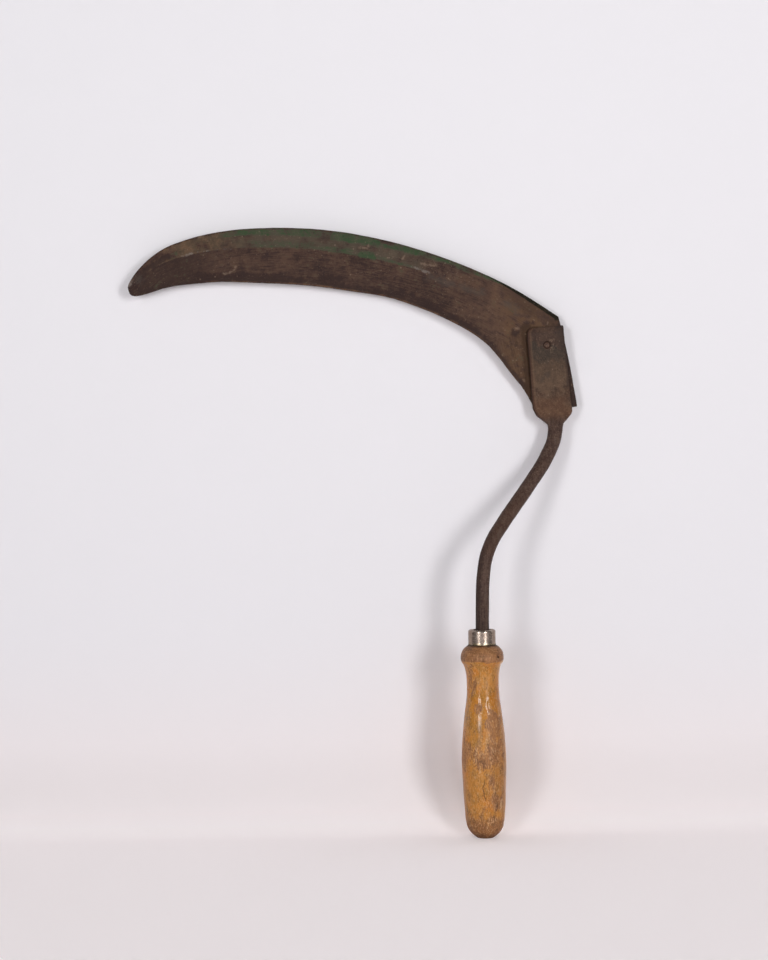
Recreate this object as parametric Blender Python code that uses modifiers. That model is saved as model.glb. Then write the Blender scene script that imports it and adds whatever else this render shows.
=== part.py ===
"""Hand sickle: a crescent blade riveted to a cranked, forged shank in a turned wooden handle.

Metres, +Z up.  The origin is the centre of the handle's flat butt and +Z runs up the handle's
axis.  The blade sweeps towards -X, its flat rear face is square to +Y, and the crank of the
shank carries it 50 mm behind the handle's axis.
"""

import math

import bmesh
import bpy
import numpy as np

COLLECTION = "hand_sickle"
CUTTERS = "cutters"
CLEARANCE = 0.0003          # kept between pieces that touch on the real tool

# Blade: flat steel, ground on its front face only.  Outlines are X, Z from the nose.
BLADE_FRONT = 0.0500        # Y of the front face
BLADE_THICKNESS = 0.0022
BLADE_REAR = BLADE_FRONT + BLADE_THICKNESS
NOSE = (-0.2557, 0.4024)
HEEL_TOP = (0.0641, 0.3753)
HEEL_FOOT_BACK, HEEL_FOOT_EDGE = (0.0768, 0.3084), (0.0455, 0.3037)
BACK = (NOSE, (-0.2551, 0.4052), (-0.2534, 0.4084), (-0.2458, 0.4180), (-0.2307, 0.4301),
        (-0.2083, 0.4386), (-0.1784, 0.4441), (-0.1487, 0.4454), (-0.1041, 0.4425),
        (-0.0597, 0.4335), (-0.0154, 0.4188), (0.0288, 0.3983), HEEL_TOP)
HEEL_BACK = (HEEL_TOP, (0.0698, 0.3500), HEEL_FOOT_BACK)
CUTTING_EDGE = (NOSE, (-0.2552, 0.4000), (-0.2536, 0.3974), (-0.2509, 0.3965),
                (-0.2462, 0.3969), (-0.2387, 0.3989), (-0.2313, 0.4012), (-0.2223, 0.4032),
                (-0.2044, 0.4050), (-0.1850, 0.4059), (-0.1643, 0.4049), (-0.1198, 0.4017),
                (-0.0901, 0.3972), (-0.0620, 0.3920), (-0.0383, 0.3836), (-0.0162, 0.3734),
                (0.0029, 0.3619), (0.0117, 0.3546))
CHOIL = (CUTTING_EDGE[-1], (0.0175, 0.3478), (0.0276, 0.3342), (0.0385, 0.3193),
         (0.0424, 0.3120), HEEL_FOOT_EDGE)
BLADE_STATIONS, NOSE_CROWDING = 64, 1.6     # stations crowd towards the nose, which turns tightly
HEEL_STATIONS = 13
BAND_SHARE = 0.36           # share of the blade's width left unground along the back
GROUND_THICKNESS = 0.0008   # at the top of the sharpening bevel
EDGE_THICKNESS = 0.0003
BEVEL_WIDTH = 0.0012
GRIND_RUN_OUT = (0.70, 1.0)     # share of the cutting edge over which the grind fades out
BACK_CHAMFER = 0.0003
HEEL_CHAMFER = (0.0026, 0.0011)     # width and depth of the forged chamfer at the heel's top
HEEL_CHAMFER_START = 0.68   # share of the back where it begins to grow

# Shank: one forging, palm plate at the top, round rod through the crank, square tang below.
PALM_THICKNESS = 0.0042
PALM_HALF = PALM_THICKNESS / 2
PALM_Y = BLADE_FRONT - CLEARANCE - PALM_HALF
PALM_FRONT = PALM_Y - PALM_HALF
SHANK_LINE = ((0.0535, PALM_Y, 0.3677), (0.0558, PALM_Y, 0.3370), (0.0580, PALM_Y, 0.3077),
              (0.0598, 0.0473, 0.2940), (0.0586, 0.0452, 0.2847), (0.0525, 0.0407, 0.2714),
              (0.0373, 0.0287, 0.2496), (0.0178, 0.0133, 0.2240), (0.0092, 0.0064, 0.2114),
              (0.0040, 0.0024, 0.1988), (0.0019, 0.0008, 0.1860), (0.0006, 0.0, 0.1560),
              (0.0, 0.0, 0.1200), (0.0, 0.0, 0.0620))
EASED = 0.0009              # corner radius of the palm plate and the tang
# Height on the shank's line, the section's reach to the left, right, front and rear of the
# line, and its corner radius.
SHANK_SECTIONS = (
    (0.3677, 0.0104, 0.0132, 0.0009, 0.0017, EASED),
    (0.3673, 0.0114, 0.0137, 0.0013, PALM_HALF, EASED),
    (0.3666, 0.0123, 0.0138, 0.0015, PALM_HALF, EASED),
    (0.3656, 0.0131, 0.0139, 0.0017, PALM_HALF, EASED),
    (0.3640, 0.0137, 0.0139, PALM_HALF, PALM_HALF, EASED),
    (0.3620, 0.0139, 0.0139, PALM_HALF, PALM_HALF, EASED),
    (0.3087, 0.0144, 0.0145, PALM_HALF, PALM_HALF, EASED),
    (0.3047, 0.0128, 0.0144, 0.0022, PALM_HALF, EASED),
    (0.3022, 0.0110, 0.0140, 0.0024, 0.0021, 0.0012),
    (0.3006, 0.0096, 0.0131, 0.0026, 0.0023, 0.0014),
    (0.2985, 0.0079, 0.0103, 0.0030, 0.0027, 0.0020),
    (0.2955, 0.0057, 0.0063, 0.0037, 0.0033, 0.0030),
    (0.2930, 0.0053, 0.0056, 0.0043, 0.0041, 0.0040),
    (0.2880, 0.0053, 0.0053, 0.0051, 0.0051, 0.0051),
    (0.2820, 0.0052, 0.0052, 0.0052, 0.0052, 0.0052),
    (0.2300, 0.0051, 0.0051, 0.0051, 0.0051, 0.0051),
    (0.1950, 0.0048, 0.0048, 0.0048, 0.0048, 0.0048),
    (0.1470, 0.0048, 0.0048, 0.0048, 0.0048, 0.0048),
    (0.1360, 0.0038, 0.0038, 0.0038, 0.0038, EASED),
    (0.0640, 0.0022, 0.0022, 0.0022, 0.0022, EASED),
    (0.0620, 0.0014, 0.0014, 0.0014, 0.0014, EASED))
BEND_TOP, BEND_FOOT, BEND_STATIONS = 0.292, 0.160, 40
POINTS_PER_CORNER = 6

# Rivets: X and Z of each, along Y through the palm plate and the blade.
UPPER_RIVET = (0.0548, 0.3542)
LOWER_RIVET = (0.0588, 0.3170)
RIVET_RADIUS = 0.0019
RIVET_HEAD = (0.0023, 0.0009)       # radius and height of the upper rivet's head
FLUSH_CROWN = 0.0002                # height of the ends that are hammered flush
RIVET_SEGMENTS = 24

# Ferrule: plated steel tube round the handle's tenon, its top rolled inwards.
FERRULE_FOOT, FERRULE_TOP = 0.1375, 0.1483
FERRULE_RADIUS = 0.0098
FERRULE_FLARE = 0.0002
FERRULE_WALL = 0.0008
FERRULE_ROLL = 0.0014               # outer radius of the rolled top
FERRULE_ROLL_TURN = math.radians(70)

# Handle: radius and height of the turned outline, from the ferrule's shoulder to the butt.
TENON_RADIUS = FERRULE_RADIUS - FERRULE_WALL - CLEARANCE
TENON_TOP = FERRULE_TOP - FERRULE_ROLL - CLEARANCE
SHOULDER = FERRULE_FOOT - CLEARANCE
BEAD = ((0.0100, SHOULDER), (0.0132, 0.1346), (0.0149, 0.1316), (0.01545, 0.1288),
        (0.0151, 0.1258), (0.0136, 0.1234))
GRIP = (BEAD[-1], (0.0126, 0.1206), (0.0119, 0.1172), (0.0115, 0.1085), (0.0119, 0.1002),
        (0.0134, 0.0889), (0.0152, 0.0715), (0.0160, 0.0555), (0.0154, 0.0385),
        (0.0145, 0.0202), (0.0139, 0.0125), (0.0120, 0.0058), (0.0092, 0.0024), (0.0062, 0.0))
HANDLE_SEGMENTS = 48


def spline(knots, per_span=8):
    """Smooth curve through the knots, with tangents weighted by the distance between them."""
    knots = np.array(knots, float)
    gaps = np.linalg.norm(np.diff(knots, axis=0), axis=1)[:, None]
    slopes = np.diff(knots, axis=0) / gaps
    middle = (slopes[:-1] * gaps[1:] + slopes[1:] * gaps[:-1]) / (gaps[1:] + gaps[:-1])
    first = 1.5 * slopes[0] - 0.5 * middle[0]
    last = 1.5 * slopes[-1] - 0.5 * middle[-1]
    tangents = np.vstack([first, middle, last])
    points = []
    for i, gap in enumerate(gaps[:, 0]):
        for t in np.arange(per_span) / per_span:
            points.append((1 + 2 * t) * (1 - t) ** 2 * knots[i]
                          + t * (1 - t) ** 2 * gap * tangents[i]
                          + t * t * (3 - 2 * t) * knots[i + 1]
                          + t * t * (t - 1) * gap * tangents[i + 1])
    return np.vstack([points, knots[-1]])


def along(line, shares):
    """Points at the given shares of a line's length."""
    steps = np.linalg.norm(np.diff(line, axis=0), axis=1)
    run = np.concatenate([[0], np.cumsum(steps)])
    return np.column_stack([np.interp(shares, run / run[-1], line[:, k])
                            for k in range(line.shape[1])])


def smoothstep(low, high, values):
    t = np.clip((values - low) / (high - low), 0, 1)
    return t * t * (3 - 2 * t)


def mix(a, b, share):
    return a + (b - a) * share


def collection(name, hidden=False):
    made = bpy.data.collections.new(name)
    bpy.context.scene.collection.children.link(made)
    made.hide_render = hidden
    return made


def material(name, colour, metallic, roughness):
    made = bpy.data.materials.new(name)
    made.use_nodes = True
    shader = made.node_tree.nodes["Principled BSDF"]
    shader.inputs["Base Color"].default_value = (*colour, 1)
    shader.inputs["Metallic"].default_value = metallic
    shader.inputs["Roughness"].default_value = roughness
    return made


def place(name, mesh, group, finish=None):
    """A new object holding the mesh; one without a finish is a cutter."""
    made = bpy.data.objects.new(name, mesh)
    group.objects.link(made)
    if finish:
        mesh.materials.append(finish)
    else:
        made.hide_render = True
        made.display_type = "WIRE"
    return made


def loft(name, rings, group, finish=None):
    """A closed solid skinned over rings that have the same number of points."""
    size = len(rings[0])
    last = (len(rings) - 1) * size
    faces = [tuple(range(size)), tuple(range(last, last + size))]
    for start in range(0, last, size):
        for k in range(size):
            here, after = start + k, start + (k + 1) % size
            faces.append((here, here + size, after + size, after))
    mesh = bpy.data.meshes.new(name)
    mesh.from_pydata(np.vstack(rings).tolist(), [], faces)
    shell = bmesh.new()
    shell.from_mesh(mesh)
    bmesh.ops.recalc_face_normals(shell, faces=shell.faces)
    shell.to_mesh(mesh)
    shell.free()
    mesh.shade_smooth()
    mesh.set_sharp_from_angle(angle=math.radians(30))
    return place(name, mesh, group, finish)


def turned(name, profile, segments, group, finish=None):
    """A solid of revolution about Z from (radius, height) points, down its outer side."""
    mesh = bpy.data.meshes.new(name)
    points = [(radius, 0, height) for radius, height in profile]
    mesh.from_pydata(points, [(i, i + 1) for i in range(len(points) - 1)], [])
    made = place(name, mesh, group, finish)
    screw = made.modifiers.new("turn", "SCREW")
    screw.steps = screw.render_steps = segments
    screw.use_merge_vertices = True
    screw.merge_threshold = 0.00001
    return made


def cut(target, cutter):
    hole = target.modifiers.new(f"cut {cutter.name}", "BOOLEAN")
    hole.operation = "DIFFERENCE"
    hole.object = cutter


def blade_section(back, edge, unground, chamfer):
    """Outline of the blade across its width: how far from the back, and Y."""
    width = np.linalg.norm(edge - back)
    small = min(BACK_CHAMFER, 0.1 * width)
    chamfer_width = mix(small, HEEL_CHAMFER[0], chamfer)
    chamfer_depth = mix(small, HEEL_CHAMFER[1], chamfer)
    bevel = min(BEVEL_WIDTH, 0.2 * width)
    shoulder = mix(GROUND_THICKNESS, BLADE_THICKNESS, unground)
    tip = mix(EDGE_THICKNESS, BLADE_THICKNESS, unground)
    outline = ((small, BLADE_REAR), (0, BLADE_REAR - small), (0, BLADE_FRONT + chamfer_depth),
               (chamfer_width, BLADE_FRONT), (BAND_SHARE * width, BLADE_FRONT),
               (width - bevel, BLADE_REAR - shoulder), (width, BLADE_REAR - tip),
               (width, BLADE_REAR))
    across = (edge - back) / width
    ring = []
    for reach, y in outline:
        x, z = back + across * reach
        ring.append((x, y, z))
    return ring


def blade_rings():
    """Sections from the nose to the heel's top, then down the heel to its foot."""
    shares = np.linspace(0.07, 1, BLADE_STATIONS) ** NOSE_CROWDING
    shares = np.concatenate([[0.002], shares])
    heel_shares = np.linspace(0, 1, HEEL_STATIONS + 1)[1:]
    backs = np.vstack([along(spline(BACK), shares), along(spline(HEEL_BACK), heel_shares)])
    edges = np.vstack([along(spline(CUTTING_EDGE), shares), along(spline(CHOIL), heel_shares)])
    unground = np.concatenate([smoothstep(*GRIND_RUN_OUT, shares), np.ones(HEEL_STATIONS)])
    chamfers = np.concatenate([smoothstep(HEEL_CHAMFER_START, 1, shares),
                               1 - smoothstep(0, 0.15, heel_shares)])
    return [blade_section(*station) for station in zip(backs, edges, unground, chamfers)]


def rounded_section(left, right, front, rear, corner):
    """Points round a rectangle about the line, which is a circle when the corners fill it."""
    step = math.pi / 2 / POINTS_PER_CORNER
    corners = ((right - corner, front - corner), (corner - left, front - corner),
               (corner - left, corner - rear), (right - corner, corner - rear))
    points = []
    for quarter, (u, v) in enumerate(corners):
        for k in range(POINTS_PER_CORNER):
            angle = quarter * math.pi / 2 + (k + 0.5) * step
            points.append((u + corner * math.cos(angle), v + corner * math.sin(angle)))
    return points


def shank_rings(top, swell=0.0):
    """Sections square to the shank's line, from the given height down to the tang's point."""
    line = spline(SHANK_LINE)[::-1]
    table = np.array(SHANK_SECTIONS)[::-1]
    bend = np.linspace(BEND_FOOT, BEND_TOP, BEND_STATIONS)
    heights = np.unique(np.concatenate([table[:, 0], bend, [top]]))

    def at(height):
        return np.array([np.interp(height, line[:, 2], line[:, k]) for k in range(3)])

    rings = []
    for height in heights[heights <= top][::-1]:
        centre = at(height)
        down = at(height - 0.001) - at(height + 0.001)
        down /= np.linalg.norm(down)
        side = np.cross(down, (0, 1, 0))
        side /= np.linalg.norm(side)
        front = np.cross(down, side)
        reaches = [np.interp(height, table[:, 0], table[:, k]) + swell for k in range(1, 6)]
        rings.append([centre + side * u + front * v for u, v in rounded_section(*reaches)])
    return rings


def rivet_hole(name, spot, group):
    """A bar along Y, wider than the rivet and longer than the stack it passes through."""
    radius = RIVET_RADIUS + CLEARANCE
    reach = 2 * PALM_THICKNESS
    made = turned(name, [(0, reach), (radius, reach), (radius, -reach), (0, -reach)],
                  RIVET_SEGMENTS, group)
    made.location = (spot[0], BLADE_FRONT, spot[1])
    made.rotation_euler = (math.pi / 2, 0, 0)
    return made


def dome(radius, height, base, steps=5):
    """Outline of a low dome that stands up from base, from its crown to its rim."""
    angles = np.linspace(0, math.pi / 2, steps)
    return [(radius * math.sin(a), base + height * math.cos(a)) for a in angles]


def rivet(name, spot, head, group, finish):
    """A rivet along Y, with a domed head or a flush end in front and a flush end behind."""
    length = BLADE_REAR - PALM_FRONT
    if head:
        profile = dome(*head, length + CLEARANCE) + [(RIVET_RADIUS, length + CLEARANCE)]
    else:
        profile = dome(RIVET_RADIUS, FLUSH_CROWN, length - FLUSH_CROWN)
    profile += dome(RIVET_RADIUS, -FLUSH_CROWN, FLUSH_CROWN)[::-1]
    made = turned(name, profile, RIVET_SEGMENTS, group, finish)
    made.location = (spot[0], BLADE_REAR, spot[1])
    made.rotation_euler = (math.pi / 2, 0, 0)
    return made


def ferrule(group, finish):
    """A tube open at both ends, whose closed outline is turned about Z."""
    roll = (FERRULE_RADIUS - FERRULE_ROLL, FERRULE_TOP - FERRULE_ROLL)
    turn = np.linspace(FERRULE_ROLL_TURN, 0, 6)
    outer = [(roll[0] + FERRULE_ROLL * math.cos(a), roll[1] + FERRULE_ROLL * math.sin(a))
             for a in turn]
    inner_roll = FERRULE_ROLL - FERRULE_WALL
    inner = [(roll[0] + inner_roll * math.cos(a), roll[1] + inner_roll * math.sin(a))
             for a in turn[::-1]]
    foot = [(FERRULE_RADIUS, FERRULE_FOOT + 0.002), (FERRULE_RADIUS + FERRULE_FLARE, FERRULE_FOOT),
            (FERRULE_RADIUS - FERRULE_WALL, FERRULE_FOOT)]
    profile = outer + foot + inner
    return turned("ferrule", profile + profile[:1], HANDLE_SEGMENTS, group, finish)


def handle(group, cutters, finish):
    tenon = [(0, TENON_TOP), (TENON_RADIUS, TENON_TOP), (TENON_RADIUS, SHOULDER)]
    outline = np.vstack([spline(BEAD, 3), spline(GRIP, 3)[1:]])
    profile = tenon + [tuple(point) for point in outline] + [(0, 0)]
    made = turned("handle", profile, HANDLE_SEGMENTS, group, finish)
    cut(made, loft("tang_bore", shank_rings(TENON_TOP + 0.003, CLEARANCE), cutters))
    return made


def main():
    for old in list(bpy.data.objects):
        bpy.data.objects.remove(old)
    parts, cutters = collection(COLLECTION), collection(CUTTERS, hidden=True)
    blade_steel = material("rusted_blade_steel", (0.16, 0.095, 0.07), 0.5, 0.6)
    shank_steel = material("rusted_shank_steel", (0.09, 0.065, 0.055), 0.5, 0.6)
    rivet_steel = material("rivet_steel", (0.14, 0.09, 0.065), 0.6, 0.5)
    flush_steel = material("flush_rivet_steel", (0.13, 0.08, 0.055), 0.5, 0.6)
    nickel = material("nickel_plate", (0.55, 0.51, 0.46), 1.0, 0.25)
    wood = material("varnished_wood", (0.45, 0.22, 0.07), 0.0, 0.35)

    blade = loft("blade", blade_rings(), parts, blade_steel)
    shank = loft("shank", shank_rings(SHANK_SECTIONS[0][0]), parts, shank_steel)
    for name, spot in (("upper_hole", UPPER_RIVET), ("lower_hole", LOWER_RIVET)):
        hole = rivet_hole(name, spot, cutters)
        cut(blade, hole)
        cut(shank, hole)
    rivet("rivet_upper", UPPER_RIVET, RIVET_HEAD, parts, rivet_steel)
    rivet("rivet_lower", LOWER_RIVET, None, parts, flush_steel)
    ferrule(parts, nickel)
    handle(parts, cutters, wood)


main()
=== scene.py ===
"""Looks of the hand sickle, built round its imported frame: every node is replaced by a finer piece.

Metres, +Z up.  The origin is the centre of the handle's butt, the handle stands on +Z, the blade
sweeps towards -X and its ground face looks towards -Y.
"""

import math
from types import SimpleNamespace

import bmesh
import bpy
import numpy as np
from mathutils import Matrix, Vector, noise


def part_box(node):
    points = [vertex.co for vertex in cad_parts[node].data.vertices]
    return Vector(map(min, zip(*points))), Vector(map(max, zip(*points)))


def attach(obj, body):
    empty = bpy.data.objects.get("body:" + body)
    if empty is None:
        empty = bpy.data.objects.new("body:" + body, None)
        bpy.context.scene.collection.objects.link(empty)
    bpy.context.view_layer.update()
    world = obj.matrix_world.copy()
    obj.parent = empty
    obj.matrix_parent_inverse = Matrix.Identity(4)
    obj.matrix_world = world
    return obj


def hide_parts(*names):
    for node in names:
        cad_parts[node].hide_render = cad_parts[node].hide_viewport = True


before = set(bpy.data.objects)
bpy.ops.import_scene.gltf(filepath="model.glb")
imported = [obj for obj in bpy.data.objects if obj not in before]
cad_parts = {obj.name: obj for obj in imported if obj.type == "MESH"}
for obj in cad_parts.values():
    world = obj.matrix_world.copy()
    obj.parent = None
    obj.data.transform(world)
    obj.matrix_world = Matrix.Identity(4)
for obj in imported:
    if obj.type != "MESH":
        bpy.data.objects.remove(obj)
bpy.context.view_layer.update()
BODY = "root"

# Blade.  Outlines are X, Z from the nose.
BLADE_LOW, BLADE_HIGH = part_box("blade")
BLADE_FRONT, BLADE_REAR = BLADE_LOW.y, BLADE_HIGH.y
BLADE_THICKNESS = BLADE_REAR - BLADE_FRONT
NOSE = (-0.2557, 0.4024)
HEEL_TOP = (0.0641, 0.3753)
HEEL_FOOT_BACK, HEEL_FOOT_EDGE = (0.0768, 0.3084), (0.0455, 0.3037)
BACK = (NOSE, (-0.2551, 0.4052), (-0.2534, 0.4084), (-0.2458, 0.418), (-0.2307, 0.4301),
        (-0.2083, 0.4386), (-0.1784, 0.4441), (-0.1487, 0.4454), (-0.1041, 0.4425),
        (-0.0597, 0.4335), (-0.0154, 0.4188), (0.0288, 0.3983), HEEL_TOP)
HEEL_BACK = (HEEL_TOP, (0.0698, 0.35), HEEL_FOOT_BACK)
CUTTING_EDGE = (NOSE, (-0.2552, 0.4), (-0.2536, 0.3974), (-0.2509, 0.3965),
                (-0.2462, 0.3969), (-0.2387, 0.3989), (-0.2313, 0.4012), (-0.2223, 0.4032),
                (-0.2044, 0.405), (-0.185, 0.4059), (-0.1643, 0.4049), (-0.1198, 0.4017),
                (-0.0901, 0.3972), (-0.062, 0.392), (-0.0383, 0.3836), (-0.0162, 0.3734),
                (0.0029, 0.3619), (0.0117, 0.3546))
CHOIL = (CUTTING_EDGE[-1], (0.0175, 0.3478), (0.0276, 0.3342), (0.0385, 0.3193),
         (0.0424, 0.312), HEEL_FOOT_EDGE)
# Mesh rings along the blade and down its heel, and how much closer they stand towards the nose.
BLADE_STATIONS, HEEL_STATIONS, NOSE_CROWDING = 430, 90, 1.35
BAND_SHARE = 0.36                   # share of the width left unground along the back
GROUND_THICKNESS, EDGE_THICKNESS, BEVEL_WIDTH = 0.0008, 0.0003, 0.0012
GRIND_RUN_OUT = (0.7, 1.0)         # share of the cutting edge over which the grind fades out
BACK_CHAMFER = 0.0003
HEEL_CHAMFER = (0.0026, 0.0011)     # width and depth at the heel
HEEL_CHAMFER_START = 0.68           # share of the back where it begins to widen
BOW_DEPTH, DENT_DEPTH, PIT_DEPTH = 0.0001, 0.00006, 0.00007
NICK_DEPTH, BACK_WAVE = 0.0004, 0.00012
BLADE_DIVISIONS = (2, 3, 4, 18, 34, 5, 2, 26)       # mesh faces along each side of a section

# Marks on the front face: X, Z lines and how far each reaches to its sides.
PALE_MARKS = (
    (((-0.1846, 0.4117), (-0.1802, 0.4124), (-0.1762, 0.4146), (-0.1752, 0.4171)), 0.0004),
    (((-0.083, 0.4292), (-0.0768, 0.429), (-0.076, 0.4308)), 0.0004),
    (((-0.051, 0.4205), (-0.0496, 0.4226)), 0.0006),
    (((-0.037, 0.4168), (-0.0315, 0.415), (-0.0255, 0.415)), 0.0006),
    (((0.0322, 0.3669), (0.0338, 0.3673)), 0.0008),
    (((0.0372, 0.3288), (0.0382, 0.3278)), 0.0004),
    (((0.056, 0.37), (0.0563, 0.3714)), 0.0002),
    (((-0.203, 0.4392), (-0.199, 0.44)), 0.0006))
# Bare steel along the grind line's crest and at the nose: worn spots that also serve as painted
# highlights, the crest's bright line and the nose's glint.
BARE_STEEL_AND_GLINT_MARKS = (
    (((-0.0445, 0.4146), (-0.0345, 0.4108), (-0.0315, 0.4094)), 0.0001),
    (((-0.0362, 0.4114), (-0.0322, 0.4098)), 0.0004),
    (((-0.215, 0.4252), (-0.2075, 0.4274)), 0.0002),
    (((-0.2075, 0.4274), (-0.1945, 0.4293), (-0.178, 0.4303)), -0.0004),
    (((-0.2549, 0.405), (-0.2538, 0.4078)), 0.0013))
# Dark rust stains; the wide one on the heel beside the plate's right edge is painted shade.
DARK_STAINS_AND_SHADE = (
    (((-0.079, 0.3975), (-0.064, 0.3958), (-0.049, 0.3938), (-0.0375, 0.3895), (-0.0277, 0.3838),
      (-0.011, 0.3748), (0.002, 0.366)), 0.0022),
    (((-0.14, 0.4078), (-0.117, 0.406), (-0.095, 0.402)), 0.0012),
    (((-0.11, 0.408), (-0.098, 0.407)), 0.0018),
    (((-0.202, 0.41), (-0.164, 0.4088), (-0.138, 0.4072)), 0.0032),
    (((-0.243, 0.415), (-0.226, 0.425)), 0.0022),
    (((-0.2505, 0.4045), (-0.2455, 0.4125)), 0.0028),
    (((0.009, 0.36), (0.025, 0.3405), (0.0385, 0.3225), (0.0425, 0.312)), 0.0012),
    # painted shade on the heel beside the plate's right edge
    (((0.0695, 0.364), (0.0736, 0.333), (0.0756, 0.311)), 0.0044),
    (((0.0302, 0.3642), (0.0318, 0.3632)), 0.0022),
    (((0.0412, 0.3704), (0.0414, 0.3706)), 0.001),
    (((0.045, 0.371), (0.0452, 0.3712)), 0.001),
    (((-0.065, 0.4335), (-0.059, 0.4322)), 0.0012))
GREY_STAINS = (
    (((0.0262, 0.385), (0.032, 0.3812)), 0.0018),
    (((-0.008, 0.3985), (0.007, 0.394)), 0.0014),
    (((-0.031, 0.406), (-0.015, 0.401)), 0.0014),
    (((-0.2485, 0.4075), (-0.247, 0.41)), 0.0014))
PAINT_PATCH = ((((-0.2235, 0.4256), (-0.219, 0.427)), 0.0016),)
WORN_PATCHES = (
    (((-0.176, 0.438), (-0.1391, 0.4372), (-0.126, 0.4364)), 0.0014),
    (((-0.114, 0.4342), (-0.104, 0.433), (-0.096, 0.432)), 0.0024),
    (((-0.085, 0.429), (-0.07, 0.4266), (-0.0529, 0.4218), (-0.038, 0.4172)), 0.0034),
    (((-0.038, 0.417), (-0.015, 0.409)), 0.006))
# Green paint left on the unground band: X where it begins and ends, softness of those two ends,
# the share of the blade's width where it starts, those where it stops at either end, and how much
# is left.
PAINT_ZONES = (
    (-0.200, -0.095, 0.026, -0.05, 0.13, 0.17, 0.74),
    (-0.110, -0.060, 0.010, -0.05, 0.17, 0.16, 0.90),
    (-0.070, 0.004, 0.008, -0.05, 0.14, 0.095, 0.84),
    (-0.008, 0.030, 0.014, -0.05, 0.095, 0.040, 0.84),
    (-0.172, -0.095, 0.016, 0.22, 0.36, 0.36, 0.56),
    (-0.118, -0.080, 0.010, 0.26, 0.37, 0.37, 0.66),
    (-0.085, -0.0695, 0.003, 0.24, 0.38, 0.37, 1.60),
    (-0.074, -0.040, 0.006, 0.29, 0.36, 0.36, 0.70))

# Shank: the same line and sections as its node.
PALM_THICKNESS = 0.0042
PALM_HALF = PALM_THICKNESS / 2
PALM_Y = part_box("shank")[1].y - PALM_HALF
PALM_FRONT = PALM_Y - PALM_HALF
SHANK_LINE = ((0.0535, PALM_Y, 0.3677), (0.0558, PALM_Y, 0.337), (0.058, PALM_Y, 0.3077),
              (0.0598, 0.0473, 0.294), (0.0586, 0.0452, 0.2847), (0.0525, 0.0407, 0.2714),
              (0.0373, 0.0287, 0.2496), (0.0178, 0.0133, 0.224), (0.0092, 0.0064, 0.2114),
              (0.004, 0.0024, 0.1988), (0.0019, 0.0008, 0.186), (0.0006, 0.0, 0.156),
              (0.0, 0.0, 0.12), (0.0, 0.0, 0.062))
EASED = 0.0009
ROD_SECTIONS = ((0.282, 0.0052), (0.23, 0.0051), (0.195, 0.0048), (0.147, 0.0048))
TANG_SECTIONS = ((0.136, 0.0038), (0.064, 0.0022), (0.062, 0.0014))
# Height, the section's reach to the left, right, front and rear of the line, corner radius.
SHANK_SECTIONS = (
    (0.3677, 0.0104, 0.0132, 0.0009, 0.0017, EASED),
    (0.3673, 0.0114, 0.0137, 0.0013, PALM_HALF, EASED),
    (0.3666, 0.0123, 0.0138, 0.0015, PALM_HALF, EASED),
    (0.3656, 0.0131, 0.0139, 0.0017, PALM_HALF, EASED),
    (0.3640, 0.0137, 0.0139, PALM_HALF, PALM_HALF, EASED),
    (0.3620, 0.0139, 0.0139, PALM_HALF, PALM_HALF, EASED),
    (0.3087, 0.0144, 0.0145, PALM_HALF, PALM_HALF, EASED),
    (0.3047, 0.0128, 0.0144, 0.0022, PALM_HALF, EASED),
    (0.3022, 0.0110, 0.0140, 0.0024, 0.0021, 0.0012),
    (0.3006, 0.0096, 0.0131, 0.0026, 0.0023, 0.0014),
    (0.2985, 0.0079, 0.0103, 0.0030, 0.0027, 0.0020),
    (0.2955, 0.0057, 0.0063, 0.0037, 0.0033, 0.0030),
    (0.2930, 0.0053, 0.0056, 0.0043, 0.0041, 0.0040),
    (0.2880, 0.0053, 0.0053, 0.0051, 0.0051, 0.0051),
    *((height, *[radius] * 5) for height, radius in ROD_SECTIONS),
    *((height, *[half] * 4, EASED) for height, half in TANG_SECTIONS))
PALM_FOOT = 0.3          # below this height the shank is a rod
PLATE_SIDE = ((0.0398, 0.3665), (0.0433, 0.3087))       # the plate's outline on the blade, as X, Z
PLATE_TOP = ((0.0398, 0.3672), (0.0668, 0.3672))
# Every set of marks, by the trait that holds each point's distance from it.
MARKS = {
    "pale": PALE_MARKS, "bare": BARE_STEEL_AND_GLINT_MARKS, "dark": DARK_STAINS_AND_SHADE, "grey": GREY_STAINS,
    "worn": WORN_PATCHES, "patch": PAINT_PATCH,
    "plate_gap": ((PLATE_SIDE, 0.0),), "plate_top": ((PLATE_TOP, 0.0),)}
SHANK_STEP, SHANK_POINTS = 0.0008, 150              # between sections, and round each of them
BORE_GAP = 0.0003
# Depths of the coarse and the fine unevenness.
ROD_RELIEF, SIDE_RELIEF, FACE_RELIEF = (0.00012, 0.00005), (0.00016, 0.00006), (0.0001, 0.00006)

# Rivets: centres come from their nodes.
RIVET_SHAFT, HOLE_GAP = 0.002, 0.00006
UPPER_HEAD, UPPER_SEAT = (0.0022, 0.0009), (0.0029, 0.0005)     # radius and height or depth
LOWER_SEAT = (0.0032, 0.001)

# Ferrule.
FERRULE_LOW, FERRULE_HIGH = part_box("ferrule")
FERRULE_FLARE = 0.0002
FERRULE_RADIUS = FERRULE_HIGH.x - FERRULE_FLARE
FERRULE_WALL, FERRULE_ROLL, FERRULE_ROLL_TURN = 0.0008, 0.0014, math.radians(70)
FERRULE_WAVE, FERRULE_DENT = 0.00003, 0.00005

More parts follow.
